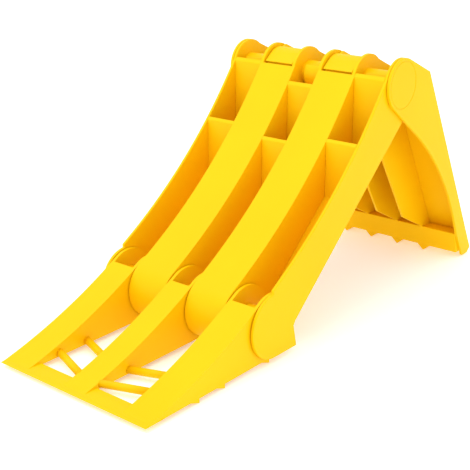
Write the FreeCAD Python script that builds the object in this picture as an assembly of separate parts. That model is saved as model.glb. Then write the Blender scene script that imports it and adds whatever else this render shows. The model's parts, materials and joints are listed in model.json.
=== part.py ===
"""Folding wheel chock, moulded in yellow plastic: a toe, a ramp and a rear support on two hinge tubes.

Millimetres, +Z up. The origin is on the ground, under the middle of the unfolded chock.
+X runs across the chock, and the toe points along -Y.
A side view point is written (y, z): y is counted back from the toe's front edge, z up from the ground.
"""
import FreeCAD, Part
import math
import os

# ---- Overall sizes
LENGTH = 320.0            # toe's front edge to the back of the foot
WIDTH = 120.0             # over both cheeks
HEIGHT = 151.2            # ground to the top of the upper hinge

# ---- Hinges
LOWER_AXIS_Y = 98.3       # toe's front edge to the lower hinge axis
LOWER_AXIS_Z = 22.3
UPPER_AXIS_Y = 217.9
EAR_RADIUS = 16.0         # round ends of the walls at the upper hinge
BARREL_RADIUS = 19.0      # round ends of the walls at the lower hinge
TOE_EAR_RADIUS = 18.3     # round ends of the toe's walls
TUBE_RADIUS = 7.5         # both hinge tubes
TUBE_WALL = 2.0
TURNING_FIT = 0.06        # radial play between a tube and what turns on it

# ---- Curves that the tyre runs on
WHEEL_RADIUS = 347.0      # ramp's top
TOE_CURVE_RADIUS = 338.0  # toe's top
EAR_MEETING_ANGLE = 160.0 # where the ramp's curve runs into the ear, from +Y

# ---- Walls and gaps
WALL = 1.8                # ramp's outer walls and the cheeks
TREAD_WALL = 2.0          # side walls of the two treads
SKIN = 2.0                # treads, ramp back and support back
RIB_WALL = 2.2            # toe's ribs
WEB = 1.6                 # cross webs in the ramp's pockets
FIN = 1.8                 # support's inner fins
SIDE_GAP = 0.3            # between faces that slide past each other
RIB_GAP = 0.4             # between a toe rib and a tread beside it
HINGE_GAP = 0.6           # between the knuckles or fins and the ramp's fixed edges

# ---- Toe
OUTER_RIB = 20.0          # width of the two outer ribs
MIDDLE_RIB = 17.0         # width of the middle rib
UNDERSIDE = 2.6           # toe's flat underside above the ground, which is the depth of its teeth
PLATE_DEPTH = 12.2        # front plate, front to back
PLATE = 1.2               # front plate's thickness
PLATE_NOSE = 0.4          # front plate's thickness at its front edge
RIB_SKIN_END = 12.5       # how far before the hinge axis a rib's skin stops
ROD_RADIUS = 2.2
ROD_RISE = 10.5           # how much further back a rod ends at its outer rib
ROD_PLACES = {"front": 15.5, "rear": 35.5}   # each rod's end at the middle rib
ROD_OVERRUN = 0.2         # share of a rod's run that it is made longer by at each end, then trimmed
TOE_TEETH = (39.0, 59.0, 96.5)  # upright rear faces of the teeth
TOE_TOOTH_LENGTH = 7.0

# ---- Ramp
HEEL_REACH = 19.8         # heel's rear edge, behind the lower axis
HEEL_HEIGHT = 13.0        # top of the heel's concave corner above its bottom
HEEL_NECK = 17.1          # concave corner, behind the lower axis
BACK_START = (18.7, -3.3) # lower end of the straight rear edge, from the lower axis
BACK_END = (5.7, -22.0)   # upper end of the straight rear edge, from the upper axis
BACK_SKIN_GAP = 26.0      # how far the back skin stops before the rear edge's upper end
STEP_BACK = 1.6           # where the outer wall's top steps down to the barrel, before the lower axis
BACK_SKIN_START = 3.5     # how far up the rear edge the back skin starts
BARREL_RELIEF = 0.1       # a tread wall's rear edge runs this far inside the barrel's round
MIDDLE_WEB = 76.2         # middle webs of the two side pockets, behind the lower axis
MIDDLE_WEB_STAGGER = 4.2  # how much further forward the middle pocket's middle web is
UPPER_WEB = 15.8          # upper webs of the two side pockets, before the upper axis
UPPER_WEB_STAGGER = 6.5   # how much further forward the middle pocket's upper web is
SADDLE_RADIUS = 10.6
SADDLE_START = 4.0        # gap between a saddle and the wall on its left
SADDLE_ARC = (142.0, 270.0)   # ends of a saddle's half shell, from +Y
SADDLE_BITE = 0.5         # how far a saddle's shelf runs into its shell
SHELF_DROP = 4.0          # shelf below the upper axis
SHELF_BELOW_WEB = 2.0     # shelf at least this far below its web's top

# ---- Support
CORNER = (30.8, 3.7)      # rear top corner of a cheek, from the upper axis
ARCH_TOP = (18.7, -33.7)  # where a cheek's front edge starts to curve, from the upper axis
ARCH_MIDDLE = (51.3, -64.8)
LOBE_TOP_ANGLE = 135.0    # a point on the round of a cheek's lobe, from +Y
FOOT_DEPTH = 17.0
FOOT_HEIGHT = 15.0
FOOT_SLANT = 4.0          # how far the foot's front leans forward at its top
FOOT_BASE = 4.0           # foot's underside above the ground, which is the depth of its teeth
CHEEK_BASE = 0.8          # cheeks' lowest edge above the ground
CHEEK_HEEL = (6.0, 4.0)   # that edge's ends: behind the foot's front, and before the back
FOOT_TEETH = (-32.5, -11.0, 11.0, 32.5)
FOOT_TOOTH = 9.0          # width of a tooth at its root
FIN_KNEE = (25.1, -55.7)  # upper end of a fin's slanted front edge, from the upper axis
FIN_FOOT = 31.0           # how far a fin's front edge is ahead of the foot's front at the bottom
FIN_TOE = 14.0            # height of a fin's lower front corner above the foot's top
FIN_ARC = (150.0, 95.0)   # start and middle of the round of a fin's lobe, from +Y
HOOD_ARC = (166.0, 128.0, 90.0)    # start, middle and end of a knuckle's outer round
HOOD_INNER_ARC = (290.0, 230.0, 176.0)
HOOD_HEM = (-2.0, -8.0)   # a knuckle's lower rear corner, from the top of the back skin's inner face
KNUCKLE_STEP = 2.0        # how much smaller a knuckle is than the ramp's ears

# ---- Worked out from the sizes above
LOWER = (LOWER_AXIS_Y, LOWER_AXIS_Z)
UPPER = (UPPER_AXIS_Y, HEIGHT - EAR_RADIUS)
CHEEK_OUT = WIDTH / 2
CHEEK_IN = CHEEK_OUT - WALL
RAMP_OUT = CHEEK_IN - SIDE_GAP
RAMP_IN = RAMP_OUT - WALL
TOE_OUT = RAMP_IN - SIDE_GAP
TOE_IN = TOE_OUT - OUTER_RIB
TREAD_OUT = TOE_IN - RIB_GAP
MIDDLE_OUT = MIDDLE_RIB / 2
TREAD_IN = MIDDLE_OUT + RIB_GAP
TREAD_HOLLOW_OUT = TREAD_OUT - TREAD_WALL
TREAD_HOLLOW_IN = TREAD_IN + TREAD_WALL
KNUCKLE_RADIUS = EAR_RADIUS - KNUCKLE_STEP
FIN_OUT = TREAD_HOLLOW_OUT - SIDE_GAP
FIN_IN = TREAD_HOLLOW_IN + SIDE_GAP


def add(point, offset):
    """The side view point at an offset from another."""
    return (point[0] + offset[0], point[1] + offset[1])


def between(a, b, share):
    """The point at a share of the way from a to b."""
    return (a[0] + (b[0] - a[0]) * share, a[1] + (b[1] - a[1]) * share)


def away(a, b, distance):
    """The point at a distance from a towards b."""
    return between(a, b, distance / math.dist(a, b))


def on_circle(centre, radius, degrees):
    """The point on a circle at an angle from +Y towards +Z."""
    turn = math.radians(degrees)
    return (centre[0] + radius * math.cos(turn), centre[1] + radius * math.sin(turn))


def circles_meet(c1, r1, c2, r2, side):
    """One of the two points that lie r1 from c1 and r2 from c2; side is +1 left of c1 to c2, or -1."""
    apart = math.dist(c1, c2)
    along = (apart ** 2 + r1 ** 2 - r2 ** 2) / (2 * apart)
    aside = side * math.sqrt(r1 ** 2 - along ** 2)
    uy, uz = (c2[0] - c1[0]) / apart, (c2[1] - c1[1]) / apart
    return (c1[0] + along * uy - aside * uz, c1[1] + along * uz + aside * uy)


def touch_point(point, centre, radius, side):
    """Where a line from a point touches a circle; side is +1 left of the line to the centre, or -1."""
    reach = math.sqrt(math.dist(point, centre) ** 2 - radius ** 2)
    return circles_meet(point, reach, centre, radius, side)


def height_on(curve, y):
    """Height of a concave curve, given as (centre, radius), at y."""
    centre, radius = curve
    return centre[1] - math.sqrt(radius ** 2 - (y - centre[0]) ** 2)


# The ramp's curve touches the barrel and runs into the ear; the toe's starts at the toe's front edge.
EAR_MEETING = on_circle(UPPER, EAR_RADIUS, EAR_MEETING_ANGLE)
RAMP_CURVE = (circles_meet(LOWER, WHEEL_RADIUS + BARREL_RADIUS, EAR_MEETING, WHEEL_RADIUS, 1),
              WHEEL_RADIUS)
TOE_CURVE = (circles_meet((0.0, UNDERSIDE), TOE_CURVE_RADIUS, LOWER,
                          TOE_CURVE_RADIUS + TOE_EAR_RADIUS, 1), TOE_CURVE_RADIUS)
BACK_LOW = add(LOWER, BACK_START)
BACK_HIGH = add(UPPER, BACK_END)
REAR_CORNER = add(UPPER, CORNER)
FOOT_FRONT = LENGTH - FOOT_DEPTH
FOOT_TOP = FOOT_BASE + FOOT_HEIGHT


def place(point, x=0.0):
    """A side view point as a vector in the part's frame."""
    return FreeCAD.Vector(x, point[0] - LENGTH / 2, point[1])


def arc_to(curve, y0, y1):
    """A stretch of a concave curve for an outline: its middle point and its end."""
    middle = (y0 + y1) / 2
    return ((middle, height_on(curve, middle)), (y1, height_on(curve, y1)))


def prism(outline, x0, x1):
    """A solid between x0 and x1. Outline items are points, or (middle, end) pairs for arcs."""
    edges = []
    here = outline[0]
    for item in list(outline[1:]) + [outline[0]]:
        if isinstance(item[0], tuple):
            middle, end = item
            edges.append(Part.Arc(place(here, x0), place(middle, x0), place(end, x0)).toShape())
        else:
            end = item
            if math.dist(here, end) < 1e-6:
                continue
            edges.append(Part.makeLine(place(here, x0), place(end, x0)))
        here = end
    face = Part.Face(Part.Wire(edges))
    return face.extrude(FreeCAD.Vector(x1 - x0, 0, 0))


def rod_x(centre, radius, x0, x1):
    """A round bar along X."""
    return Part.makeCylinder(radius, x1 - x0, place(centre, x0), FreeCAD.Vector(1, 0, 0))


def mirrored(solid):
    """The same piece on the other side of the chock."""
    return solid.mirror(FreeCAD.Vector(0, 0, 0), FreeCAD.Vector(1, 0, 0))


def joined(solids):
    """Solids fused into one, without leftover edges."""
    whole = solids[0]
    for solid in solids[1:]:
        whole = whole.fuse(solid)
    return whole.removeSplitter()


def parts_of(shape):
    """A shape's solid by itself, or its solids together when it has several."""
    if len(shape.Solids) == 1:
        return shape.Solids[0]
    return Part.makeCompound(shape.Solids)


# ---- Toe

def toe_plate():
    """Thin front plate, bevelled to an edge that slips under a tyre."""
    top = UNDERSIDE + PLATE
    outline = [(0, UNDERSIDE), (0, UNDERSIDE + PLATE_NOSE), (PLATE_DEPTH / 2, top), (PLATE_DEPTH, top),
               (PLATE_DEPTH, UNDERSIDE)]
    return prism(outline, -TOE_OUT, TOE_OUT)


def rib_start():
    """Where the toe's curve rises out of the front plate."""
    centre, radius = TOE_CURVE
    drop = centre[1] - (UNDERSIDE + PLATE)
    return centre[0] + math.sqrt(radius ** 2 - drop ** 2)


def toe_rib_wall(x0, x1):
    """One side wall of a rib, with its round ear on the lower hinge."""
    start = rib_start()
    touch = away(LOWER, TOE_CURVE[0], TOE_EAR_RADIUS)
    outline = [(start, UNDERSIDE + PLATE), arc_to(TOE_CURVE, start, touch[0]),
               LOWER, (LOWER_AXIS_Y, UNDERSIDE),
               (PLATE_DEPTH, UNDERSIDE), (PLATE_DEPTH, UNDERSIDE + PLATE)]
    wall = joined([prism(outline, x0, x1), rod_x(LOWER, TOE_EAR_RADIUS, x0, x1)])
    return wall.cut(rod_x(LOWER, TUBE_RADIUS + TURNING_FIT, x0 - 1, x1 + 1))


def toe_rib_skin(x0, x1):
    """The curved top of a rib, between its walls. It stops before the hinge tube."""
    start = PLATE_DEPTH
    end = LOWER_AXIS_Y - RIB_SKIN_END
    inner = (TOE_CURVE[0], TOE_CURVE_RADIUS + RIB_WALL)
    grounded = inner[0][0] + math.sqrt(inner[1] ** 2 - (inner[0][1] - UNDERSIDE) ** 2)
    inner_start = max(start, grounded)
    outline = [(start, height_on(TOE_CURVE, start)), arc_to(TOE_CURVE, start, end),
               (end, height_on(inner, end)), arc_to(inner, end, inner_start),
               (start, max(UNDERSIDE, height_on(inner, start)))]
    return prism(outline, x0, x1)


def toe_teeth(x0, x1):
    """Saw teeth under an outer wall of the toe that bite into the ground."""
    teeth = []
    for rear in TOE_TEETH:
        outline = [(rear - TOE_TOOTH_LENGTH, UNDERSIDE), (rear, UNDERSIDE), (rear, 0.0)]
        teeth.append(prism(outline, x0, x1))
    return Part.makeCompound(teeth)


def brace_rod(place_y):
    """A round rod low in the bay right of the middle rib."""
    level = UNDERSIDE + ROD_RADIUS
    start = place((place_y, level), MIDDLE_OUT)
    end = place((place_y + ROD_RISE, level), TOE_IN)
    run = end - start
    long_start = start - run * ROD_OVERRUN
    rod = Part.makeCylinder(ROD_RADIUS, run.Length * (1 + 2 * ROD_OVERRUN), long_start, run)
    bay = Part.makeBox(TOE_IN - MIDDLE_OUT, LENGTH, HEIGHT, FreeCAD.Vector(MIDDLE_OUT, -LENGTH / 2, 0))
    return rod.common(bay)


def make_toe():
    """All pieces of the toe."""
    pieces = {"toe_plate": toe_plate()}
    ribs = {"left": (-TOE_OUT, -TOE_IN), "middle": (-MIDDLE_OUT, MIDDLE_OUT), "right": (TOE_IN, TOE_OUT)}
    for name, (x0, x1) in ribs.items():
        pieces["toe_%s_rib_left_wall" % name] = toe_rib_wall(x0, x0 + RIB_WALL)
        pieces["toe_%s_rib_right_wall" % name] = toe_rib_wall(x1 - RIB_WALL, x1)
        pieces["toe_%s_rib_skin" % name] = toe_rib_skin(x0 + RIB_WALL, x1 - RIB_WALL)
    pieces["toe_right_teeth"] = toe_teeth(TOE_OUT - RIB_WALL, TOE_OUT)
    pieces["toe_left_teeth"] = toe_teeth(-TOE_OUT, -TOE_OUT + RIB_WALL)
    for name, place_y in ROD_PLACES.items():
        rod = brace_rod(place_y)
        pieces["toe_right_%s_rod" % name] = rod
        pieces["toe_left_%s_rod" % name] = mirrored(rod)
    return pieces


# ---- Ramp

def ramp_side(x0, x1, with_heel):
    """A ramp wall: curved top, round ends at both hinges and a straight rear edge.

    An outer wall has a heel and covers the tubes' ends. A tread's wall lets the tubes through.
    """
    ear_back = touch_point(BACK_HIGH, UPPER, EAR_RADIUS, -1)
    if with_heel:
        start = (LOWER_AXIS_Y - STEP_BACK, height_on(RAMP_CURVE, LOWER_AXIS_Y - STEP_BACK))
        floor = LOWER_AXIS_Z - BARREL_RADIUS
        low = [add(LOWER, (HEEL_NECK, HEEL_HEIGHT - BARREL_RADIUS)),
               (LOWER_AXIS_Y + HEEL_REACH, floor), (LOWER_AXIS_Y, floor)]
    else:
        start = away(LOWER, RAMP_CURVE[0], BARREL_RADIUS)
        low = [touch_point(BACK_LOW, LOWER, BARREL_RADIUS - BARREL_RELIEF, 1)]
    outline = [start, arc_to(RAMP_CURVE, start[0], EAR_MEETING[0]), UPPER, ear_back, BACK_HIGH, BACK_LOW]
    outline += low + [LOWER]
    rounds = [rod_x(LOWER, BARREL_RADIUS, x0, x1), rod_x(UPPER, EAR_RADIUS, x0, x1)]
    wall = joined([prism(outline, x0, x1)] + rounds)
    if with_heel:
        return wall
    for axis in (LOWER, UPPER):
        wall = wall.cut(rod_x(axis, TUBE_RADIUS, x0 - 1, x1 + 1))
    return wall


def tread_skin(x0, x1):
    """The curved top of a tread, from the barrel up to the knuckle's gap."""
    start = away(LOWER, RAMP_CURVE[0], BARREL_RADIUS)
    below = (RAMP_CURVE[0], WHEEL_RADIUS + SKIN)
    end = EAR_MEETING[0] + SKIN
    start_below = away(LOWER, RAMP_CURVE[0], BARREL_RADIUS - SKIN)
    outline = [start, arc_to(RAMP_CURVE, start[0], end), (end, height_on(below, end)),
               arc_to(below, end, start_below[0])]
    return prism(outline, x0, x1).cut(rod_x(UPPER, KNUCKLE_RADIUS + HINGE_GAP, x0 - 1, x1 + 1))


def barrel(x0, x1):
    """The round nose of a tread on the lower hinge, from the tread's start down to the bottom."""
    touch = away(LOWER, RAMP_CURVE[0], BARREL_RADIUS)
    start = math.degrees(math.atan2(touch[1] - LOWER[1], touch[0] - LOWER[0]))
    end = 270.0
    inner = BARREL_RADIUS - SKIN
    middle = (start + end) / 2
    outline = [on_circle(LOWER, BARREL_RADIUS, start),
               (on_circle(LOWER, BARREL_RADIUS, middle), on_circle(LOWER, BARREL_RADIUS, end)),
               on_circle(LOWER, inner, end),
               (on_circle(LOWER, inner, middle), on_circle(LOWER, inner, start))]
    return prism(outline, x0, x1)


def back_skin_line():
    """The back skin's outer edge: its lower and upper end on the ramp's straight rear edge."""
    return away(BACK_LOW, BACK_HIGH, BACK_SKIN_START), away(BACK_HIGH, BACK_LOW, BACK_SKIN_GAP)


def back_skin(x0, x1):
    """The floor of a pocket, along the ramp's straight rear edge."""
    low, high = back_skin_line()
    length = math.dist(low, high)
    inward = ((low[1] - high[1]) / length * SKIN, (high[0] - low[0]) / length * SKIN)
    return prism([low, high, add(high, inward), add(low, inward)], x0, x1)


def pocket_web(y, x0, x1):
    """An upright cross web in a pocket, from the ramp's curve down to the pocket's floor."""
    low, high = back_skin_line()
    top0, top1 = height_on(RAMP_CURVE, y), height_on(RAMP_CURVE, y + WEB)
    slope = (high[1] - low[1]) / (high[0] - low[0])
    rise = SKIN * math.hypot(1, slope)
    floor0 = low[1] + (y - low[0]) * slope + rise
    floor1 = floor0 + WEB * slope
    return prism([(y, top0), (y + WEB, top1), (y + WEB, floor1), (y, floor0)], x0, x1)


def saddle(x0, x1, web_y, web_top):
    """A half shell in front of the upper hinge tube, held by a short shelf from the upper web."""
    start, end = SADDLE_ARC
    middle = (start + end) / 2
    shell = prism([on_circle(UPPER, SADDLE_RADIUS, start),
                   (on_circle(UPPER, SADDLE_RADIUS, middle), on_circle(UPPER, SADDLE_RADIUS, end)),
                   on_circle(UPPER, TUBE_RADIUS, end),
                   (on_circle(UPPER, TUBE_RADIUS, middle), on_circle(UPPER, TUBE_RADIUS, start))], x0, x1)
    level = min(UPPER[1] - SHELF_DROP, web_top - SHELF_BELOW_WEB)
    shelf = prism([(web_y, level), (UPPER[0], level), (UPPER[0], level - WEB), (web_y, level - WEB)],
                  x0, x1).cut(rod_x(UPPER, SADDLE_RADIUS - SADDLE_BITE, x0 - 1, x1 + 1))
    return joined([shell, shelf])


def make_ramp():
    """All pieces of the ramp, and the two hinge tubes, which are fixed in it."""
    pieces = {"ramp_right_wall": ramp_side(RAMP_IN, RAMP_OUT, True)}
    pieces["ramp_left_wall"] = mirrored(pieces["ramp_right_wall"])
    treads = {"right": 1, "left": -1}
    for name, side in treads.items():
        spans = {"outer_wall": (TREAD_HOLLOW_OUT, TREAD_OUT), "inner_wall": (TREAD_IN, TREAD_HOLLOW_IN)}
        for wall, span in spans.items():
            x0, x1 = sorted(side * x for x in span)
            pieces["%s_tread_%s" % (name, wall)] = ramp_side(x0, x1, False)
        x0, x1 = sorted((side * TREAD_HOLLOW_IN, side * TREAD_HOLLOW_OUT))
        pieces["%s_tread_skin" % name] = tread_skin(x0, x1)
        pieces["%s_tread_barrel" % name] = barrel(x0, x1)
    pockets = {"left": (-RAMP_IN, -TREAD_OUT, 0.0, 0.0), "right": (TREAD_OUT, RAMP_IN, 0.0, 0.0),
               "middle": (-TREAD_IN, TREAD_IN, MIDDLE_WEB_STAGGER, UPPER_WEB_STAGGER)}
    for name, (x0, x1, middle_forward, upper_forward) in pockets.items():
        middle_web = LOWER_AXIS_Y + MIDDLE_WEB - middle_forward
        upper_web = UPPER_AXIS_Y - UPPER_WEB - upper_forward
        web_top = height_on(RAMP_CURVE, upper_web)
        pieces["%s_pocket_floor" % name] = back_skin(x0, x1)
        pieces["%s_pocket_middle_web" % name] = pocket_web(middle_web, x0, x1)
        pieces["%s_pocket_upper_web" % name] = pocket_web(upper_web, x0, x1)
        pieces["%s_hinge_saddle" % name] = saddle(x0 + SADDLE_START, x1, upper_web + WEB, web_top)
    for name, axis in (("lower", LOWER), ("upper", UPPER)):
        tube = rod_x(axis, TUBE_RADIUS, -RAMP_IN, RAMP_IN)
        pieces["%s_hinge_tube" % name] = tube.cut(rod_x(axis, TUBE_RADIUS - TUBE_WALL, -WIDTH, WIDTH))
    return pieces


# ---- Support

def cheek(x0, x1):
    """An outer side of the support: a round lobe on the upper hinge that narrows down to the foot."""
    lobe_back = touch_point(REAR_CORNER, UPPER, EAR_RADIUS, -1)
    arch_top = add(UPPER, ARCH_TOP)
    lobe_front = touch_point(arch_top, UPPER, EAR_RADIUS, 1)
    arch_end = (FOOT_FRONT - FOOT_SLANT, FOOT_TOP)
    heel_front = (FOOT_FRONT + CHEEK_HEEL[0], CHEEK_BASE)
    heel_rear = (LENGTH - CHEEK_HEEL[1], CHEEK_BASE)
    outline = [lobe_back, REAR_CORNER, (LENGTH, FOOT_BASE), heel_rear, heel_front, arch_end,
               (add(UPPER, ARCH_MIDDLE), arch_top), lobe_front,
               (on_circle(UPPER, EAR_RADIUS, LOBE_TOP_ANGLE), lobe_back)]
    return prism(outline, x0, x1)


def support_back_points():
    """Corners of the support's back skin: outer top, outer bottom, inner bottom, inner top."""
    bottom = (LENGTH, FOOT_BASE)
    length = math.dist(REAR_CORNER, bottom)
    inward = ((bottom[1] - REAR_CORNER[1]) / length * SKIN, (REAR_CORNER[0] - bottom[0]) / length * SKIN)
    inner_top = add(REAR_CORNER, inward)
    level_thickness = SKIN * length / (REAR_CORNER[1] - bottom[1])
    return REAR_CORNER, bottom, (LENGTH - level_thickness, FOOT_BASE), inner_top


def foot_top_line():
    """Where the back skin's inner face meets the top of the foot."""
    outer_top, outer_bottom, inner_bottom, inner_top = support_back_points()
    share = (FOOT_TOP - inner_bottom[1]) / (inner_top[1] - inner_bottom[1])
    return between(inner_bottom, inner_top, share)


def fin(x0, x1):
    """An inner side plate of the support. It turns on the upper tube inside a tread, and folds into it."""
    lobe_back = touch_point(REAR_CORNER, UPPER, EAR_RADIUS, -1)
    knee = add(UPPER, FIN_KNEE)
    lobe_front = touch_point(knee, UPPER, KNUCKLE_RADIUS, 1)
    inner_top = support_back_points()[3]
    foot_top = foot_top_line()
    low_front = (FOOT_FRONT - FIN_FOOT, foot_top[1] + FIN_TOE)
    outline = [lobe_back, away(REAR_CORNER, lobe_back, SKIN), inner_top, foot_top,
               (FOOT_FRONT - FOOT_SLANT, foot_top[1]), low_front, knee, lobe_front,
               (on_circle(UPPER, KNUCKLE_RADIUS, FIN_ARC[0]), on_circle(UPPER, KNUCKLE_RADIUS, FIN_ARC[1]))]
    plate = prism(outline, x0, x1)
    return plate.cut(rod_x(UPPER, TUBE_RADIUS + TURNING_FIT, x0 - 1, x1 + 1))


def knuckle(x0, x1):
    """A closed hood over the upper tube that carries a tread's line on to the support's back."""
    inner_top = support_back_points()[3]
    hub = KNUCKLE_RADIUS - SKIN
    outer = [on_circle(UPPER, KNUCKLE_RADIUS, degrees) for degrees in HOOD_ARC]
    inner = [on_circle(UPPER, hub, degrees) for degrees in HOOD_INNER_ARC]
    outline = [outer[0], (outer[1], outer[2]), away(REAR_CORNER, UPPER, SKIN), inner_top,
               add(inner_top, HOOD_HEM), inner[0], (inner[1], inner[2])]
    block = prism(outline, x0, x1)
    return block.cut(rod_x(UPPER, TUBE_RADIUS + TURNING_FIT, x0 - 1, x1 + 1))


def foot_bar():
    """The bar along the bottom, between the cheeks and in front of the back skin."""
    inner_bottom = support_back_points()[2]
    outline = [(FOOT_FRONT, FOOT_BASE), (FOOT_FRONT - FOOT_SLANT, FOOT_TOP), foot_top_line(),
               inner_bottom]
    return prism(outline, -CHEEK_IN, CHEEK_IN)


def foot_teeth():
    """Ridges under the foot, V-shaped from the front."""
    teeth = []
    for x in FOOT_TEETH:
        corners = [FreeCAD.Vector(x - FOOT_TOOTH / 2, 0, FOOT_BASE), FreeCAD.Vector(x, 0, 0),
                   FreeCAD.Vector(x + FOOT_TOOTH / 2, 0, FOOT_BASE)]
        wire = Part.makePolygon(corners + [corners[0]])
        ridge = Part.Face(wire).extrude(FreeCAD.Vector(0, FOOT_DEPTH - 2 * SKIN, 0))
        ridge.translate(FreeCAD.Vector(0, FOOT_FRONT - LENGTH / 2, 0))
        teeth.append(ridge)
    return Part.makeCompound(teeth)


def make_support():
    """All pieces of the rear support."""
    pieces = {"support_right_cheek": cheek(CHEEK_IN, CHEEK_OUT)}
    pieces["support_left_cheek"] = mirrored(pieces["support_right_cheek"])
    pieces["support_back"] = prism(list(support_back_points()), -CHEEK_IN, CHEEK_IN)
    pieces["support_foot"] = foot_bar()
    pieces["support_foot_teeth"] = foot_teeth()
    fins = {"outer": (FIN_OUT - FIN, FIN_OUT), "inner": (FIN_IN, FIN_IN + FIN)}
    for name, (x0, x1) in fins.items():
        pieces["support_right_%s_fin" % name] = fin(x0, x1)
        pieces["support_left_%s_fin" % name] = mirrored(pieces["support_right_%s_fin" % name])
    hood = knuckle(FIN_IN + FIN, FIN_OUT - FIN)
    pieces["support_right_knuckle"] = hood
    pieces["support_left_knuckle"] = mirrored(hood)
    return pieces


def main():
    """Writes one STEP file for each piece."""
    os.makedirs("parts", exist_ok=True)
    pieces = {}
    for group in (make_toe(), make_ramp(), make_support()):
        pieces.update(group)
    for name, shape in sorted(pieces.items()):
        shape = parts_of(shape)
        shape.exportStep("parts/%s.step" % name)
        box = shape.BoundBox
        print("%-28s %6d mm3  valid %s  y %.1f..%.1f  z %.1f..%.1f" % (
            name, shape.Volume, shape.isValid(), box.YMin + LENGTH / 2, box.YMax + LENGTH / 2,
            box.ZMin, box.ZMax))


main()
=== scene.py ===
# %% [markdown]
# # A folding wheel chock in satin yellow plastic
#
# The chock has three mouldings, a toe, a ramp and a rear support, on two hinge tubes. The packed
# model already has every wall at its real size. Here each moulding gets the look of the real one: soft
# moulded edges, skins that run over their walls without a seam, and a satin plastic finish.

# %% Load the frame
import json
import math
import bpy
import numpy as np
from mathutils import Matrix, Vector


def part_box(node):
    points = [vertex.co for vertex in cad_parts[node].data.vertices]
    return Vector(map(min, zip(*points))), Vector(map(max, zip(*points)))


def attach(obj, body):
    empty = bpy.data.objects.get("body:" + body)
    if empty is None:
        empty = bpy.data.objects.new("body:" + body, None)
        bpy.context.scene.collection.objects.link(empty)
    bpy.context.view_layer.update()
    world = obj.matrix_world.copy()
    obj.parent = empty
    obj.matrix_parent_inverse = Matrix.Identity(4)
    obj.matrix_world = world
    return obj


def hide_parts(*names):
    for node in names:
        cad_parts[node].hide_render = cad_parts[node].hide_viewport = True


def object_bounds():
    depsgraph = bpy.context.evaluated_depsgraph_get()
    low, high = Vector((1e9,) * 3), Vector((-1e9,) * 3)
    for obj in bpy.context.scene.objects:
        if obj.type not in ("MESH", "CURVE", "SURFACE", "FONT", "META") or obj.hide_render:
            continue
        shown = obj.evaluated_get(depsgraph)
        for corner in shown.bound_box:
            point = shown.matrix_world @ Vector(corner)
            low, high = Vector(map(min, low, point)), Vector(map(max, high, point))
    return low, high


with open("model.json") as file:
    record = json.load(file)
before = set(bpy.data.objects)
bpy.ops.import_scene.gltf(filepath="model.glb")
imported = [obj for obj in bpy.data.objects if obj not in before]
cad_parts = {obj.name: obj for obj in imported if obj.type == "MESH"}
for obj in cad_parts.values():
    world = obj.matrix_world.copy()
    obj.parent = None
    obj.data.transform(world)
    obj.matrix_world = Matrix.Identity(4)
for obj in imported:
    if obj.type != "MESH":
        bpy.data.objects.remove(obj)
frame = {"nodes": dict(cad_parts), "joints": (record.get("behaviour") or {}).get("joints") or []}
cad_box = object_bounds()
print("the packed model's box, m:", [tuple(round(c, 4) for c in corner) for corner in cad_box])

# %% [markdown]
# ## The camera
#
# The camera comes first, so that each later choice can be judged in the right view. It stands to the
# front right, a little above the chock. It is turned by its azimuth and elevation, and rolled by less
# than half a degree.

# %% Camera
CAMERA_PLACE = (0.3602, -0.4551, 0.2545)
CAMERA_AZIMUTH, CAMERA_ELEVATION, CAMERA_ROLL = 40.02, 19.91, -0.42
CAMERA_LENS = 76.97
NEAR_CLIP = 0.01  # m


def make_camera():
    """Turn about Z by the azimuth, tip down by the elevation, then roll about the line of sight."""
    turn = Matrix.Rotation(math.radians(CAMERA_AZIMUTH), 4, "Z")
    tip = Matrix.Rotation(math.radians(90.0 - CAMERA_ELEVATION), 4, "X")
    roll = Matrix.Rotation(math.radians(CAMERA_ROLL), 4, "Z")
    data = bpy.data.cameras.new("Camera")
    data.lens = CAMERA_LENS
    data.clip_start = NEAR_CLIP
    camera = bpy.data.objects.new("Camera", data)
    camera.matrix_world = Matrix.Translation(CAMERA_PLACE) @ turn @ tip @ roll
    bpy.context.scene.collection.objects.link(camera)
    bpy.context.scene.camera = camera
    return camera


camera = make_camera()
print("the camera's distance from the origin, m:", round(camera.location.length, 3))

# %% [markdown]
# ## Sizes
#
# Outlines are drawn in a side view, in millimetres: y is counted back from the toe's front edge, and z
# up from the ground. The hinge axes and every width come from the frame, so a piece always lies where
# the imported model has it. The radii and thicknesses are a maker's values.

# %% Sizes
MM = 0.001
FRONT = cad_box[0][1] / MM
LENGTH = (cad_box[1][1] - cad_box[0][1]) / MM


def axis_of(joint_name):
    """A hinge axis in the side view: its place in millimetres, y counted from the front edge."""
    joint = next(j for j in frame["joints"] if j["name"] == joint_name)
    return np.array([joint["pos_m"][1] / MM - FRONT, joint["pos_m"][2] / MM])


def span(node):
    """A node's left and right x, in millimetres."""
    low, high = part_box(node)
    return low[0] / MM, high[0] / MM


LOWER, UPPER = axis_of("toe_fold"), axis_of("support_fold")
EAR, BARREL, TOE_EAR, TUBE = 16.0, 19.0, 18.3, 7.5      # radii about the two hinges
TUBE_WALL, PLAY = 2.0, 0.06                             # a tube's wall, and the room round it
RAMP_RADIUS, TOE_RADIUS = 347.0, 338.0                  # the two concave curves
EAR_MEETING_ANGLE = 160.0                               # where the ramp's curve meets the ear
SKIN, RIB_SKIN, WEB = 2.0, 2.2, 1.6                     # thicknesses
HOOD_STEP = 2.0                                         # how much lower a hood is than an ear
HOOD = EAR - HOOD_STEP
HOOD_GAP = 1.0                                          # between a hood and the tread before it
UNDERSIDE, PLATE, PLATE_NOSE, PLATE_DEPTH = 2.6, 1.2, 0.4, 12.2    # the toe's front plate
BACK_LOW_FROM_AXIS, BACK_HIGH_FROM_AXIS = (18.7, -3.3), (5.7, -22.0)  # ends of the ramp's rear edge
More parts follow.
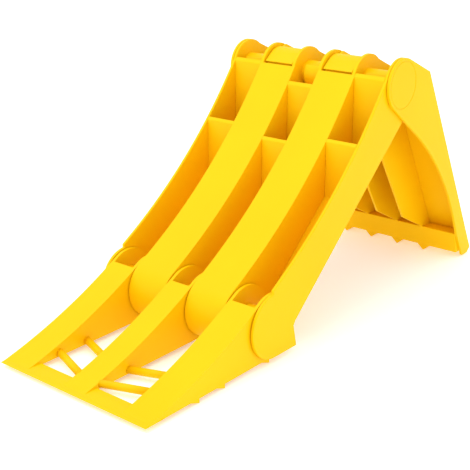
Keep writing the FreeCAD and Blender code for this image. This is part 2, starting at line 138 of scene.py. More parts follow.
print("lower axis", LOWER.round(2), "upper axis", UPPER.round(2), "length", round(LENGTH, 1))

# %% [markdown]
# ## Points, arcs and concave curves
#
# Every outline here is a few straight runs joined by arcs, as a mould maker would draw it. An arc is
# sampled from its centre, so its smoothness is one number. Two tangent circles give the ramp's curve:
# the tyre's circle outside, and the barrel on the hinge inside.

# %% Outline helpers
ARC_STEP = 3.0      # degrees between an arc's points
CURVE_POINTS = 60   # points along one of the ramp's long curves


def on_circle(centre, radius, degrees):
    """Points at centre + radius * (cos, sin) of each angle, as an (n, 2) array."""
    turn = np.radians(np.atleast_1d(degrees).astype(float))
    return np.asarray(centre) + radius * np.stack([np.cos(turn), np.sin(turn)], axis=1)


def arc(centre, radius, start, end):
    """Evenly spaced points on a circle from one angle to another, about every ARC_STEP degrees."""
    count = max(2, int(abs(end - start) / ARC_STEP) + 1)
    return on_circle(centre, radius, np.linspace(start, end, count))


def angle_of(point, centre):
    """Angle of a point about a centre, in degrees."""
    offset = np.asarray(point) - np.asarray(centre)
    return math.degrees(math.atan2(offset[1], offset[0]))


def circles_meet(c1, r1, c2, r2, side):
    """The point r1 from c1 and r2 from c2: (d^2+r1^2-r2^2)/2d along the centres' line, then aside."""
    c1, c2 = np.asarray(c1, float), np.asarray(c2, float)
    apart = np.linalg.norm(c2 - c1)
    along = (apart ** 2 + r1 ** 2 - r2 ** 2) / (2 * apart)
    unit = (c2 - c1) / apart
    return c1 + along * unit + side * math.sqrt(r1 ** 2 - along ** 2) * np.array([-unit[1], unit[0]])


def touch_point(point, centre, radius, side):
    """Where a line from a point touches a circle: the two circles there meet at a right angle."""
    reach = math.sqrt(np.sum((np.asarray(point) - centre) ** 2) - radius ** 2)
    return circles_meet(point, reach, centre, radius, side)


def away(a, b, distance):
    """The point at a distance from a towards b."""
    a, b = np.asarray(a, float), np.asarray(b, float)
    return a + (b - a) * distance / np.linalg.norm(b - a)


def height_on(centre, radius, y):
    """Height of a circle's lower side: centre z - sqrt(radius^2 - (y - centre y)^2)."""
    return centre[1] - np.sqrt(radius ** 2 - (np.asarray(y) - centre[0]) ** 2)


def concave(centre, radius, y0, y1, count=40):
    """Points along a circle's lower side between two values of y."""
    y = np.linspace(y0, y1, count)
    return np.stack([y, height_on(centre, radius, y)], axis=1)


def arc_through(a, b, c, count=24):
    """Points on the circle through three points, whose centre is equally far from all of them."""
    a, b, c = (np.asarray(p, float) for p in (a, b, c))
    rows = np.array([b - a, c - a])
    centre = np.linalg.solve(rows, (rows @ (a + np.array([b, c])).T).diagonal() / 2)
    angles = np.unwrap(np.radians([angle_of(p, centre) for p in (a, b, c)]))
    return on_circle(centre, np.linalg.norm(a - centre),
                     np.degrees(np.linspace(angles[0], angles[2], count)))


EAR_MEETING = on_circle(UPPER, EAR, EAR_MEETING_ANGLE)[0]
RAMP_CENTRE = circles_meet(LOWER, RAMP_RADIUS + BARREL, EAR_MEETING, RAMP_RADIUS, 1)
TOE_CENTRE = circles_meet((0.0, UNDERSIDE), TOE_RADIUS, LOWER, TOE_RADIUS + TOE_EAR, 1)
BACK_LOW, BACK_HIGH = LOWER + BACK_LOW_FROM_AXIS, UPPER + BACK_HIGH_FROM_AXIS
print("the tyre's centre, mm:", RAMP_CENTRE.round(1))

# %% [markdown]
# ## From an outline to a moulded wall
#
# A wall is its outline carried along X: two flat caps and one strip round them. A wall that turns on a
# tube has a round hole, so each cap is two faces that meet on two lines from the hole to the outline.
# They lie in one plane, so no line shows between them. Real mouldings have no sharp edges. A small
# Bevel rounds each one, and hardened normals keep the broad faces flat right up to it.

# %% Wall and piece helpers
BORE_STEPS = 48
DOUBLE = 1e-4       # two points nearer than this are one
NEAR_TIE = 1.02     # outline points this close to the nearest one count as near the bore
SOFT_EDGE, CHEEK_EDGE, FINE_EDGE, PLATE_EDGE = 0.4, 0.25, 0.2, 0.15   # widths of rounded edges
PANEL_EDGE = 0.3
EDGE_SEGMENTS = 2
FOLD_LIMIT = 35.0   # degrees; a sharper fold than this is rounded


def counterclockwise(outline):
    """The outline in the order that gives a positive area by the shoelace formula, doubles removed."""
    keep = np.linalg.norm(outline - np.roll(outline, 1, axis=0), axis=1) > DOUBLE
    outline = outline[keep]
    after = np.roll(outline, -1, axis=0)
    area = np.sum(outline[:, 0] * after[:, 1] - after[:, 0] * outline[:, 1])
    return outline if area > 0 else outline[::-1]


def ring_sides(first, count, inward):
    """Quads between a ring of vertices and its copy, whose numbers are higher by `gap`."""
    start, gap = first
    here = np.arange(count)
    after = (here + 1) % count
    quads = np.stack([here, after, after + gap, here + gap], axis=1) + start
    return (quads[:, ::-1] if inward else quads).tolist()


def wall(outline, x0, x1, bore=None, across="x"):
    """An outline carried from x0 to x1, and its optional bore (centre, radius).

    Vertices are the outline, then the bore, at x0, and the same again at x1. With across="y" the
    outline is drawn in x and z and carried along y instead.
    """
    ring = counterclockwise(np.asarray(outline, float))
    n = len(ring)
    if bore is None:
        points, loops = ring, [list(range(n))]
    else:
        centre, radius = np.asarray(bore[0], float), bore[1]
        distance = np.linalg.norm(ring - centre, axis=1)
        near = np.flatnonzero(distance < distance.min() * NEAR_TIE)
        ring = np.roll(ring, -near[0], axis=0)
        near = (near - near[0]) % n
        angles = np.degrees(np.arctan2(*(ring - centre).T[::-1]))
        apart = (angles[near] - angles[0]) % 360.0
        far = int(near[np.argmax(np.minimum(apart, 360.0 - apart))])
        hole = on_circle(centre, radius, angles[0] + np.arange(BORE_STEPS) * 360.0 / BORE_STEPS)
        split = int(round(((angles[far] - angles[0]) % 360.0) / 360.0 * BORE_STEPS)) % BORE_STEPS
        points = np.vstack([ring, hole])
        loops = [list(range(0, far + 1)) + list(range(n + split, n - 1, -1)),
                 list(range(far, n)) + [0, n] + list(range(n + BORE_STEPS - 1, n + split - 1, -1))]
    total = len(points)
    y = points[:, 0] + (FRONT if across == "x" else 0.0)
    flat = np.stack([np.zeros(total), y, points[:, 1]], axis=1)
    low, high = flat + (x0, 0, 0), flat + (x1, 0, 0)
    faces = [loop[::-1] for loop in loops] + [[i + total for i in loop] for loop in loops]
    faces += ring_sides((0, total), n, False)
    if bore is not None:
        faces += ring_sides((n, total), BORE_STEPS, True)
    vertices = np.vstack([low, high])
    if across == "y":
        vertices = vertices[:, [1, 0, 2]]
        faces = [face[::-1] for face in faces]
    return vertices * MM, faces


made = []


def piece(name, shells, body, nodes, material, soft=SOFT_EDGE):
    """One object from closed shells: joined as arrays, edges softened, riding on its body."""
    starts = np.cumsum([0] + [len(v) for v, _ in shells[:-1]])
    faces = [[i + int(s) for i in face] for s, (_, shell) in zip(starts, shells) for face in shell]
    mesh = bpy.data.meshes.new(name)
    mesh.from_pydata(np.vstack([v for v, _ in shells]).tolist(), [], faces)
    mesh.update()
    mesh.polygons.foreach_set("use_smooth", np.ones(len(faces), bool))
    mesh.materials.append(material)
    thing = bpy.data.objects.new(name, mesh)
    bpy.context.scene.collection.objects.link(thing)
    if soft:
        bevel = thing.modifiers.new("soft moulded edges", "BEVEL")
        bevel.width = soft * MM
        bevel.segments = EDGE_SEGMENTS
        bevel.limit_method = "ANGLE"
        bevel.angle_limit = math.radians(FOLD_LIMIT)
        bevel.harden_normals = True
    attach(thing, body)
    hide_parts(*nodes)
    made.append(thing)
    return thing


# %% [markdown]
# ## The plastic
#
# The chock is polypropylene, injection moulded in signal yellow. It is satin: the mould is lightly
# textured, so highlights are broad and soft. Light that bounces between two yellow walls loses more
# green than red each time, and turns orange, which is why the pockets look so warm. The base colour
# reflects nearly all of the red, so that this happens by itself. The colour drifts a little where the
# melt flowed, and a fine grain breaks up the sheen.

# %% Satin polypropylene
SHEEN_LEVEL = 0.1  # chosen lower than plain polypropylene's, so that the yellow stays deep
GRAIN_MM = 1.1     # real mould grain is about 0.1 mm; drawn coarser, so that it shows
GRAIN_DEPTH = 0.00004  # m
GRAIN_STRENGTH = 0.25
DULLER, GLOSSIER = 0.05, 0.04   # how far the grain takes the roughness each way
FLOW_MM = 45.0     # drift of the colour along the melt's flow
FLOW_FROM, FLOW_TO = 0.3, 0.7   # the part of the noise's range over which the colour drifts
FLOW_DETAIL, GRAIN_DETAIL = 3.0, 2.0
POLYPROPYLENE_IOR = 1.49


def linear(hex_colour):
    """sRGB hex to linear: v/12.92 below 0.04045, else ((v+0.055)/1.055)^2.4."""
    v = np.array([int(hex_colour[i:i + 2], 16) for i in (1, 3, 5)]) / 255.0
    return (*np.where(v <= 0.04045, v / 12.92, ((v + 0.055) / 1.055) ** 2.4), 1.0)


def add_node(tree, kind, settings=(), links=()):
    """A node with its socket values, and links given as (socket, other node, its output)."""
    node = tree.nodes.new(kind)
    for key, value in dict(settings).items():
        if key in node.inputs:
            node.inputs[key].default_value = value
        else:
            setattr(node, key, value)
    for socket, other, output in links:
        tree.links.new(other.outputs[output], node.inputs[socket])
    return node


def satin_polypropylene(name, shade, deep, roughness):
    """Yellow between two near shades by slow noise; fine noise drives the roughness and the bump."""
    material = bpy.data.materials.new(name)
    material.use_nodes = True
    tree = material.node_tree
    shader = tree.nodes["Principled BSDF"]
    place = add_node(tree, "ShaderNodeTexCoord")
    per_metre = 1.0 / MM
    flow = add_node(tree, "ShaderNodeTexNoise",
                    {"Scale": per_metre / FLOW_MM, "Detail": FLOW_DETAIL},
                    [("Vector", place, "Object")])
    grain = add_node(tree, "ShaderNodeTexNoise",
                     {"Scale": per_metre / GRAIN_MM, "Detail": GRAIN_DETAIL},
                     [("Vector", place, "Object")])
    ramp = add_node(tree, "ShaderNodeValToRGB", links=[("Fac", flow, "Fac")])
    first, last = ramp.color_ramp.elements
    first.position, last.position = FLOW_FROM, FLOW_TO
    first.color, last.color = linear(deep), linear(shade)
    gloss = add_node(tree, "ShaderNodeMapRange",
                     {"To Min": roughness - GLOSSIER, "To Max": roughness + DULLER},
                     [("Value", grain, "Fac")])
    bump = add_node(tree, "ShaderNodeBump", {"Strength": GRAIN_STRENGTH, "Distance": GRAIN_DEPTH},
                    [("Height", grain, "Fac")])
    tree.links.new(ramp.outputs["Color"], shader.inputs["Base Color"])
    tree.links.new(gloss.outputs["Result"], shader.inputs["Roughness"])
    tree.links.new(bump.outputs["Normal"], shader.inputs["Normal"])
    shader.inputs["IOR"].default_value = POLYPROPYLENE_IOR
    shader.inputs["Specular IOR Level"].default_value = SHEEN_LEVEL
    return material


MOULDED, EXTRUDED = 0.44, 0.38   # roughness; a die leaves a tube a little smoother
TOE_FINISH = satin_polypropylene("polypropylene, toe moulding", "#FCCB05", "#FAC704", MOULDED)
RAMP_FINISH = satin_polypropylene("polypropylene, ramp moulding", "#FCCA05", "#FAC604", MOULDED)
SUPPORT_FINISH = satin_polypropylene("polypropylene, support moulding", "#FCCA05", "#FAC604", MOULDED)
TUBE_FINISH = satin_polypropylene("polypropylene, extruded tube", "#FBC905", "#F9C504", EXTRUDED)

# %% [markdown]
# ## The toe
#
# Three hollow wedges rise from a thin front plate to round ears on the lower tube. A rib's top skin is
# drawn over the full width of the rib, and its walls stop a hair below, so that the top is one
# surface, as on the moulding. Inside the front plate, the skin's underside is a hair above the plate's.
# Four round rods brace the open bays.

# %% Toe ribs, plate and teeth
HAIR = 0.03        # how far a wall stays inside the skin over it
SLIDE = 0.35       # how much narrower a rib is on each side, for a clear line at the hinge
BURIED = 4.0       # how far a rib's skin starts inside the front plate
WALL_LATE = 0.5    # how far past the start of the curve a wall's top starts
SKIN_STOP = 12.5   # how far before the lower axis a rib's skin ends
TOOTH_LENGTH, TOOTH_ROOT = 7.0, 0.5
TOOTH_REARS = (39.0, 59.0, 96.5)


def rib_start():
    """Where the toe's curve rises out of the front plate."""
    drop = TOE_CENTRE[1] - (UNDERSIDE + PLATE)
    return TOE_CENTRE[0] + math.sqrt(TOE_RADIUS ** 2 - drop ** 2)


def toe_wall_outline():
    """Concave top, round ear, flat underside: from the plate back to the hinge and forward again."""
    start = rib_start()
    touch = away(LOWER, TOE_CENTRE, TOE_EAR)
    top = concave(TOE_CENTRE, TOE_RADIUS + HAIR, start + WALL_LATE, touch[0])
    ear = arc(LOWER, TOE_EAR, angle_of(touch, LOWER), -90.0)
    return np.vstack([top, ear, (LOWER[0], UNDERSIDE), (PLATE_DEPTH, UNDERSIDE),
                      (PLATE_DEPTH, UNDERSIDE + PLATE)])


def toe_skin_outline():
    """The top curve and its offset RIB_SKIN below, from inside the plate to just before the tube."""
    end = LOWER[0] - SKIN_STOP
    inner_radius = TOE_RADIUS + RIB_SKIN
    grounded = TOE_CENTRE[0] + math.sqrt(inner_radius ** 2 - (TOE_CENTRE[1] - UNDERSIDE) ** 2)
    start = rib_start() - BURIED
    top = concave(TOE_CENTRE, TOE_RADIUS, start, end)
    below = concave(TOE_CENTRE, inner_radius, end, max(start, grounded))
    outline = np.vstack([top, below, (PLATE_DEPTH + HAIR, UNDERSIDE), (start, UNDERSIDE)])
    buried = outline[:, 0] < PLATE_DEPTH
    outline[buried, 1] = np.maximum(outline[buried, 1], UNDERSIDE + HAIR)
    return outline


def toe_tooth(rear):
    """A saw tooth: a slope down to an upright rear face."""
    root = UNDERSIDE + TOOTH_ROOT
    return [(rear - TOOTH_LENGTH, root), (rear - TOOTH_LENGTH, UNDERSIDE), (rear, 0.0), (rear, root)]


def make_toe():
    """Ribs, teeth and front plate."""
    for side in ("left", "middle", "right"):
        nodes = ["toe_%s_rib_%s" % (side, part) for part in ("left_wall", "right_wall", "skin")]
        left, right = span(nodes[0]), span(nodes[1])
        low, high = left[0] + SLIDE, right[1] - SLIDE
        bore = (LOWER, TUBE + PLAY)
        shells = [wall(toe_wall_outline(), low + HAIR, left[1], bore),
                  wall(toe_wall_outline(), right[0], high - HAIR, bore),
                  wall(toe_skin_outline(), low, high)]
        piece("toe_%s_rib" % side, shells, "toe", nodes, TOE_FINISH)
    for side in ("left", "right"):
        node = "toe_%s_teeth" % side
        low, high = span(node)
        teeth = [wall(toe_tooth(rear), low + SLIDE, high - SLIDE) for rear in TOOTH_REARS]
        piece("toe_%s_saw_teeth" % side, teeth, "toe", [node], TOE_FINISH, FINE_EDGE)
    top = UNDERSIDE + PLATE
    left, right = span("toe_plate")
    outline = [(0, UNDERSIDE), (0, UNDERSIDE + PLATE_NOSE), (PLATE_DEPTH / 2, top),
               (PLATE_DEPTH, top), (PLATE_DEPTH, UNDERSIDE)]
    plate = wall(outline, left + SLIDE + HAIR, right - SLIDE - HAIR)
    piece("toe_front_plate", [plate], "toe", ["toe_plate"], TOE_FINISH, PLATE_EDGE)


make_toe()

# %% [markdown]
# A brace rod is a cylinder whose ends follow the ribs' sides. Each ring starts as a circle square to
# the rod, and its points slide along the rod until they reach the rib's plane.

# %% Brace rods
ROD, ROD_RUN_BACK = 2.2, 10.5     # a rod's radius, and how far back its outer end lies
ROD_STEPS = 32
ROD_STARTS = (("front", 15.5), ("rear", 35.5))
# A rod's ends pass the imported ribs' sides by SUNK. The ribs here are SLIDE narrower on each side, so half
# of it is inside them.
SUNK = 2 * SLIDE


def rod(x0, x1, y0):
    """point(turn, end) = centre line + ROD * (cos * side + sin * up), slid to the end's x."""
    turns = np.linspace(0.0, 2 * math.pi, ROD_STEPS, endpoint=False)
    run = np.array([x1 - x0, ROD_RUN_BACK, 0.0])
    unit = run / np.linalg.norm(run)
    side = np.array([-unit[1], unit[0], 0.0])
    up = np.array([0.0, 0.0, 1.0])
    circle = ROD * (np.cos(turns)[:, None] * side + np.sin(turns)[:, None] * up)
    slid = circle - (circle[:, :1] / unit[0]) * unit
    start = np.array([x0, y0 + FRONT, UNDERSIDE + ROD])
    vertices = np.vstack([slid + start, slid + start + run])
    count = len(turns)
    faces = [list(range(count))[::-1], list(range(count, 2 * count))]
    quads = np.array(ring_sides((0, count), count, False))
    # Known fault: side, up and unit are right-handed whichever way the rod runs, so this turn isn't needed
    # and leaves the right-hand rods' faces inwards.
    if x1 > x0:
        return vertices * MM, [f[::-1] for f in faces] + quads[:, ::-1].tolist()
    return vertices * MM, faces + quads.tolist()


def make_rods():
    """Two rods in each bay, sloping back from the middle rib."""
    inner = span("toe_middle_rib_right_wall")[1] - SUNK
    outer = span("toe_right_rib_left_wall")[0] + SUNK
    for place, y in ROD_STARTS:
        for side, sign in (("left", -1), ("right", 1)):
            name = "toe_%s_%s_rod" % (side, place)
            piece(name + "_brace", [rod(sign * inner, sign * outer, y)], "toe", [name], TOE_FINISH, 0)


make_rods()
print("toe pieces:", len(made))

# %% [markdown]
# ## The ramp
#
# Two plain outer walls carry heels. Between them are two treads that the tyre runs on. A tread's skin
# and its round nose are one bent sheet on the real moulding, so here they are one outline too. It
# ends at a narrow gap. Past the gap the hood, which belongs to the support, carries its line on.

# %% Ramp walls and treads
EAR_STEP = 1.6                     # how far before the lower axis the outer wall's barrel ends
HEEL_TOP, HEEL_REAR = (17.1, 13.0), 19.8   # from the lower axis, the height over the barrel's foot
LOW_INSET = 0.1                    # how far inside the barrel the rear edge ends


def rear_edge():
    """From the ear's tangent point down the straight rear edge."""
    return np.vstack([touch_point(BACK_HIGH, UPPER, EAR, -1), BACK_HIGH, BACK_LOW])


def ramp_top(y0, inset=0.0):
    """The tyre's curve up to the ear, and the ear's round to the rear edge."""
    curve = concave(RAMP_CENTRE, RAMP_RADIUS + inset, y0, EAR_MEETING[0], CURVE_POINTS)
    ear = arc(UPPER, EAR, EAR_MEETING_ANGLE, angle_of(rear_edge()[0], UPPER))
    return np.vstack([curve, ear[1:-1]])


def outer_wall_outline():
    """Top, rear edge, heel and barrel, with a small step where the toe's ear passes."""
    step = LOWER[0] - EAR_STEP
    floor = LOWER[1] - BARREL
    barrel = arc(LOWER, BARREL, 270.0, math.degrees(math.acos(-EAR_STEP / BARREL)))
    heel = LOWER + (HEEL_TOP[0], HEEL_TOP[1] - BARREL)
    return np.vstack([ramp_top(step), rear_edge(), heel, (LOWER[0] + HEEL_REAR, floor), barrel])


def tread_wall_outline():
    """Top, rear edge and barrel, without a heel."""
    touch = away(LOWER, RAMP_CENTRE, BARREL)
    low = touch_point(BACK_LOW, LOWER, BARREL - LOW_INSET, 1)
    nose = arc(LOWER, BARREL - HAIR, angle_of(low, LOWER) % 360.0, angle_of(touch, LOWER))
    return np.vstack([ramp_top(touch[0], HAIR), rear_edge(), nose])


def tread_shell_outline():
    """A bent sheet SKIN thick: round the nose, up the tyre's curve, and cut by the hood's gap."""
    touch = angle_of(away(LOWER, RAMP_CENTRE, BARREL), LOWER)
    gap = HOOD + HOOD_GAP
    end_below = circles_meet(RAMP_CENTRE, RAMP_RADIUS + SKIN, UPPER, gap, -1)
    outside = arc(LOWER, BARREL, 270.0, touch)
    inside = arc(LOWER, BARREL - SKIN, touch, 270.0)
    top = concave(RAMP_CENTRE, RAMP_RADIUS, outside[-1][0], EAR_MEETING[0], CURVE_POINTS)
    cut = arc(UPPER, gap, EAR_MEETING_ANGLE, angle_of(end_below, UPPER) % 360.0)
    below = concave(RAMP_CENTRE, RAMP_RADIUS + SKIN, end_below[0], inside[0][0], CURVE_POINTS)
    return np.vstack([outside, top, cut, below, inside])


def make_ramp():
    """Outer walls and treads."""
    for side in ("left", "right"):
        node = "ramp_%s_wall" % side
        side_wall = wall(outer_wall_outline(), *span(node))
        piece("ramp_%s_side" % side, [side_wall], "ramp", [node], RAMP_FINISH)
        parts = ("outer_wall", "inner_wall", "skin", "barrel")
        nodes = ["%s_tread_%s" % (side, part) for part in parts]
        walls = sorted([span(nodes[0]), span(nodes[1])])
        shells = [wall(tread_wall_outline(), walls[0][0] + HAIR, walls[0][1]),
                  wall(tread_wall_outline(), walls[1][0], walls[1][1] - HAIR),
                  wall(tread_shell_outline(), walls[0][0], walls[1][1])]
        piece("%s_tread" % side, shells, "ramp", nodes, RAMP_FINISH)


make_ramp()

# %% [markdown]
# Between the treads and the outer walls are three pockets. Each has a sloping floor, two upright webs
# that stop the walls from spreading, and a half-round saddle that holds the upper tube.

# %% Pockets and saddles
FLOOR_LOW, FLOOR_HIGH = 3.5, 26.0  # how far a floor ends from each end of the rear edge
SADDLE, SADDLE_FROM, SADDLE_TO = 10.6, 142.0, 270.0   # outer radius, and angles of its ends
SHELF_DROP, SHELF_BELOW_WEB = 4.0, 2.0   # a shelf's top below the upper axis, and below its web
SHELF_REACH = 10.1                 # how near the axis a shelf goes: inside the saddle's shell
SHELF_BITE = 0.5                   # how far a shelf goes into its web


def floor_line():
    """Lower and upper end of a pocket's floor on the straight rear edge."""
    return away(BACK_LOW, BACK_HIGH, FLOOR_LOW), away(BACK_HIGH, BACK_LOW, FLOOR_HIGH)


def floor_outline():
    """The floor: the rear edge's line and the same line SKIN inward."""
    low, high = floor_line()
    along = (high - low) / np.linalg.norm(high - low)
    inward = SKIN * np.array([-along[1], along[0]])
    return np.vstack([low, high, high + inward, low + inward])


def web_outline(node):
    """A web from the tyre's curve down to the sloping floor."""
    y0, y1 = (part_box(node)[end][1] / MM - FRONT for end in (0, 1))
    top = height_on(RAMP_CENTRE, RAMP_RADIUS, np.array([y0, y1]))
    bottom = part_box(node)[0][2] / MM
    low, high = floor_line()
    slope = (high - low)[1] / (high - low)[0]
    return [(y0, top[0]), (y1, top[1]), (y1, bottom + slope * (y1 - y0)), (y0, bottom)]


def saddle_shells(side):
    """The half shell in front of the tube, and the shelf from the upper web that carries it."""
    x0, x1 = span("%s_hinge_saddle" % side)
    web_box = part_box("%s_pocket_upper_web" % side)
    web_y = web_box[1][1] / MM - FRONT
    web_top = height_on(RAMP_CENTRE, RAMP_RADIUS, web_box[0][1] / MM - FRONT)
    level = min(UPPER[1] - SHELF_DROP, web_top - SHELF_BELOW_WEB)
    shell = np.vstack([arc(UPPER, SADDLE, SADDLE_FROM, SADDLE_TO),
                       arc(UPPER, TUBE, SADDLE_TO, SADDLE_FROM)])
    reach = UPPER[0] - math.sqrt(SHELF_REACH ** 2 - (UPPER[1] - level) ** 2)
    start = web_y - SHELF_BITE
    shelf = [(start, level), (reach, level), (reach, level - WEB), (start, level - WEB)]
    return [wall(shell, x0, x1), wall(shelf, x0, x1)]


def make_pockets():
    """Floor, webs and saddle of the three pockets."""
    for side in ("left", "middle", "right"):
        node = "%s_pocket_floor" % side
        floor = wall(floor_outline(), *span(node))
        piece(node + "_panel", [floor], "ramp", [node], RAMP_FINISH, FINE_EDGE)
        for level in ("middle", "upper"):
            node = "%s_pocket_%s_web" % (side, level)
            web = wall(web_outline(node), *span(node))
            piece(node + "_plate", [web], "ramp", [node], RAMP_FINISH, PANEL_EDGE)
        node = "%s_hinge_saddle" % side
        piece(node + "_shell", saddle_shells(side), "ramp", [node], RAMP_FINISH, FINE_EDGE)


make_pockets()

# %% [markdown]
# ## The hinge tubes
#
# A tube is an outer and an inner cylinder joined by a flat ring at each end. Its section is a
# rectangle in radius and length, turned about the axis, which is the usual surface of revolution.

# %% Tubes
TUBE_STEPS = 64


def tube(centre, x0, x1):
    """point(turn, corner) = (x, centre + r * (cos, sin)), over the wall section's four corners."""
    turns = np.linspace(0.0, 2 * math.pi, TUBE_STEPS, endpoint=False)
    section = [(x0, TUBE), (x1, TUBE), (x1, TUBE - TUBE_WALL), (x0, TUBE - TUBE_WALL)]
    rings = [np.stack([np.full(TUBE_STEPS, x), centre[0] + FRONT + r * np.cos(turns),
                       centre[1] + r * np.sin(turns)], axis=1) for x, r in section]
    here = np.arange(TUBE_STEPS)
    after = (here + 1) % TUBE_STEPS
    faces = []
    for corner in range(4):
        a, b = corner * TUBE_STEPS, (corner + 1) % 4 * TUBE_STEPS
        faces += np.stack([here + a, after + a, after + b, here + b], axis=1).tolist()
    return np.vstack(rings) * MM, faces


for level, centre in (("lower", LOWER), ("upper", UPPER)):
    node = "%s_hinge_tube" % level
    shell = tube(centre, *span(node))
    piece("%s_tube" % level, [shell], "ramp", [node], TUBE_FINISH, PANEL_EDGE)
print("pieces so far:", len(made))

# %% [markdown]
# ## The support
#
# Two cheeks turn outside the ramp's walls. Each has a round lobe over the upper hinge, with a fine
# ring moulded in it round the hinge, and an arched front edge. Between them are a back, a foot with
# V-shaped teeth, and four fins and two hoods inside the treads' hollows.

# %% Support
CORNER = UPPER + (30.8, 3.7)       # where the back starts, behind the upper hinge
FOOT_BASE, FOOT_TOP, FOOT_SLANT = 4.0, 19.0, 4.0
FOOT_DEPTH = 17.0
FOOT_FRONT = LENGTH - FOOT_DEPTH
CHEEK_BASE, HEEL_BEVEL, CHEEK_TOE = 0.8, 4.0, 6.0   # a cheek's lowest edge and its two ends
ARCH_TOP, ARCH_MIDDLE = UPPER + (18.7, -33.7), UPPER + (51.3, -64.8)
KNEE, FIN_FOOT, FIN_TOE = UPPER + (25.1, -55.7), 31.0, 14.0   # a fin's front edge
LOBE_END = 95.0    # angle at which a fin's lobe turns into its straight flank
LOBE_DROP = 2.4    # how far a fin's lobe stays under the hood
LIP_AHEAD = 0.8    # how far past the tread's end the hood's lip starts, in y
HOOD_TOP, HOOD_INSIDE_FROM, HOOD_INSIDE_TO = 90.0, 290.0, 176.0   # angles of a hood's rounds
HOOD_HEM = (-2.0, -8.0)            # a hood's lower rear corner, from the back's inner top
HOOD_SIDE = 0.9    # the line between a hood's side and the tread's wall
RING, RING_DEPTH = 14.2, 0.25
RING_OVERLAP = 0.3                 # the disc is wider than the opening by this, the boss narrower
DISC_INSIDE, BOSS_INSIDE, BOSS_BELOW = 0.05, 0.3, 0.04   # depths that keep faces apart
RIDGE_HALF, RIDGE_ROOT = 4.5, 0.3  # half the base of a foot tooth, and how far it goes in
RIDGE_PLACES = (-32.5, -11.0, 11.0, 32.5)


def back_corners():
    """Outer top, outer bottom, inner bottom and inner top of the sloping back, SKIN thick."""
    bottom = np.array([LENGTH, FOOT_BASE])
    run = bottom - CORNER
    length = np.linalg.norm(run)
    inner_top = CORNER + np.array([run[1], -run[0]]) / length * SKIN
    inner_bottom = (LENGTH - SKIN * length / -run[1], FOOT_BASE)
    return CORNER, bottom, np.array(inner_bottom), inner_top


def foot_top_rear():
    """Where the back's inner face is at the foot's top."""
    low, high = back_corners()[2:]
    return low + (high - low) * (FOOT_TOP - low[1]) / (high[1] - low[1])


def cheek_outline():
    """Lobe, straight rear edge, bevelled heel and the arch back up to the lobe."""
    back, front = touch_point(CORNER, UPPER, EAR, -1), touch_point(ARCH_TOP, UPPER, EAR, 1)
    lobe = arc(UPPER, EAR, angle_of(front, UPPER) % 360.0, angle_of(back, UPPER))
    arch = arc_through((FOOT_FRONT - FOOT_SLANT, FOOT_TOP), ARCH_MIDDLE, ARCH_TOP)
    return np.vstack([lobe, CORNER, (LENGTH, FOOT_BASE), (LENGTH - HEEL_BEVEL, CHEEK_BASE),
                      (FOOT_FRONT + CHEEK_TOE, CHEEK_BASE), arch])


def fin_outline():
    """Lobe on the tube, the back's inner line, the foot's top and the slanted front edge."""
    lobe_radius = HOOD - LOBE_DROP
    back, front = touch_point(CORNER, UPPER, EAR, -1), touch_point(KNEE, UPPER, lobe_radius, 1)
    lobe = arc(UPPER, lobe_radius, angle_of(front, UPPER) % 360.0, LOBE_END)
    rear = foot_top_rear()
    toe = (FOOT_FRONT - FIN_FOOT, rear[1] + FIN_TOE)
    return np.vstack([lobe, back, away(CORNER, back, SKIN), back_corners()[3], rear,
                      (FOOT_FRONT - FOOT_SLANT, rear[1]), toe, KNEE])


def hood_outline():
    """The closed cap over the tube: a lip level with the tread, a round, and the line to the back."""
    inner_top = back_corners()[3]
    lip_y = EAR_MEETING[0] + LIP_AHEAD
    lip = np.array([lip_y, height_on(RAMP_CENTRE, RAMP_RADIUS, lip_y)])
    round_start = angle_of(touch_point(lip, UPPER, HOOD, 1), UPPER) % 360.0
    return np.vstack([away(lip, UPPER, SKIN), lip, arc(UPPER, HOOD, round_start, HOOD_TOP),
                      away(CORNER, UPPER, SKIN), inner_top, inner_top + HOOD_HEM,
                      arc(UPPER, HOOD - SKIN, HOOD_INSIDE_FROM, HOOD_INSIDE_TO)])


def cheek_shells(x0, x1, side):
    """The cheek with a round opening, a disc that fills it, and a fine groove left between them."""
    face, inside = (x1, x0) if side > 0 else (x0, x1)
    turns = np.arange(0.0, 360.0, ARC_STEP)
    disc = on_circle(UPPER, RING + RING_OVERLAP, turns)
    boss = on_circle(UPPER, RING - RING_OVERLAP, turns)
    base = sorted((inside + side * DISC_INSIDE, face - side * RING_DEPTH))
    raised = sorted((inside + side * BOSS_INSIDE, face - side * BOSS_BELOW))
    return [wall(cheek_outline(), x0, x1, (UPPER, RING)), wall(disc, *base), wall(boss, *raised)]


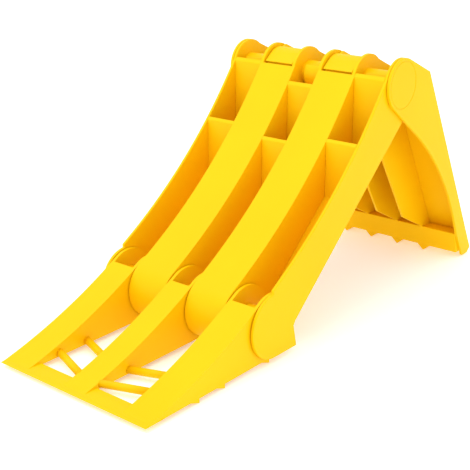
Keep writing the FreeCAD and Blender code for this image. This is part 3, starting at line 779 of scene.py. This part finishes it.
def make_support():
    """Cheeks, back, foot, teeth, fins and hoods."""
    for side, sign in (("left", -1), ("right", 1)):
        node = "support_%s_cheek" % side
        cheek = cheek_shells(*span(node), sign)
        piece(node + "_panel", cheek, "support", [node], SUPPORT_FINISH, CHEEK_EDGE)
        for place in ("outer", "inner"):
            node = "support_%s_%s_fin" % (side, place)
            fin = wall(fin_outline(), *span(node), (UPPER, TUBE + PLAY))
            piece(node + "_plate", [fin], "support", [node], SUPPORT_FINISH, PANEL_EDGE)
        node = "support_%s_knuckle" % side
        hollow = sorted(span("%s_tread_%s" % (side, wall_name))[end] for wall_name, end in
                        (("outer_wall", int(sign < 0)), ("inner_wall", int(sign > 0))))
        hood = wall(hood_outline(), hollow[0] + HOOD_SIDE, hollow[1] - HOOD_SIDE,
                    (UPPER, TUBE + PLAY))
        piece("support_%s_hood" % side, [hood], "support", [node], SUPPORT_FINISH, PANEL_EDGE)
    back = wall(np.array(back_corners()), *span("support_back"))
    piece("support_back_panel", [back], "support", ["support_back"], SUPPORT_FINISH,
          PANEL_EDGE)
    foot = np.array([(FOOT_FRONT, FOOT_BASE), (FOOT_FRONT - FOOT_SLANT, FOOT_TOP), foot_top_rear(),
                     back_corners()[2]])
    bar = wall(foot, *span("support_foot"))
    piece("support_foot_bar", [bar], "support", ["support_foot"], SUPPORT_FINISH)
    y0, y1 = (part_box("support_foot_teeth")[end][1] / MM for end in (0, 1))
    root = FOOT_BASE + RIDGE_ROOT
    teeth = []
    for x in RIDGE_PLACES:
        left, right = x - RIDGE_HALF, x + RIDGE_HALF
        ridge = [(left, root), (left, FOOT_BASE), (x, 0.0), (right, FOOT_BASE), (right, root)]
        teeth.append(wall(ridge, y0, y1, across="y"))
    piece("support_foot_ridges", teeth, "support", ["support_foot_teeth"], SUPPORT_FINISH, FINE_EDGE)


make_support()
print("all pieces:", len(made), "standing for", len(frame["nodes"]), "nodes")

# %% [markdown]
# ## Floor and light
#
# The product stands on plain pale ground that glows a little, like a light table, so that the ground
# stays white. A broad soft box above and to the front left brightens the tops, a much weaker one
# touches the right side, and a white sky keeps every shadow faint. The plain Standard view keeps
# signal yellow as saturated as it is to the eye, where a filmic one would pale it.

# %% Studio
FLOOR_HALF = 8.0                       # m, half the floor's side
FLOOR_ROUGHNESS, FLOOR_SHEEN, FLOOR_GLOW = 0.9, 0.1, 0.3
AIM = Vector((0.0, 0.0, 0.06))         # m, the middle of the chock
KEY_PLACE, KEY_SIZE, KEY_POWER = (-0.35, -0.6, 1.8), 1.5, 12.6
FILL_PLACE, FILL_SIZE, FILL_POWER = (1.5, 0.1, 0.5), 1.2, 0.8
SKY = 1.0


def make_floor():
    """One large square at the ground."""
    half = FLOOR_HALF
    mesh = bpy.data.meshes.new("floor")
    mesh.from_pydata([(-half, -half, 0), (half, -half, 0), (half, half, 0), (-half, half, 0)], [],
                     [(0, 1, 2, 3)])
    material = bpy.data.materials.new("matt white studio floor")
    material.use_nodes = True
    shader = material.node_tree.nodes["Principled BSDF"]
    shader.inputs["Base Color"].default_value = linear("#FAFAFA")
    shader.inputs["Roughness"].default_value = FLOOR_ROUGHNESS
    shader.inputs["Specular IOR Level"].default_value = FLOOR_SHEEN
    shader.inputs["Emission Color"].default_value = linear("#FFFFFF")
    shader.inputs["Emission Strength"].default_value = FLOOR_GLOW
    mesh.materials.append(material)
    floor = bpy.data.objects.new("floor", mesh)
    bpy.context.scene.collection.objects.link(floor)


def soft_box(name, place, size, power):
    """A square area light aimed at the middle of the chock."""
    data = bpy.data.lights.new(name, "AREA")
    data.size = size
    data.energy = power
    light = bpy.data.objects.new(name, data)
    light.location = place
    light.rotation_euler = (AIM - Vector(place)).to_track_quat("-Z", "Y").to_euler()
    bpy.context.scene.collection.objects.link(light)


make_floor()
soft_box("key", KEY_PLACE, KEY_SIZE, KEY_POWER)
soft_box("fill", FILL_PLACE, FILL_SIZE, FILL_POWER)
world = bpy.data.worlds.new("white studio")
world.use_nodes = True
background = world.node_tree.nodes["Background"]
background.inputs["Color"].default_value = linear("#FFFFFF")
background.inputs["Strength"].default_value = SKY
bpy.context.scene.world = world
bpy.context.scene.view_settings.view_transform = "Standard"
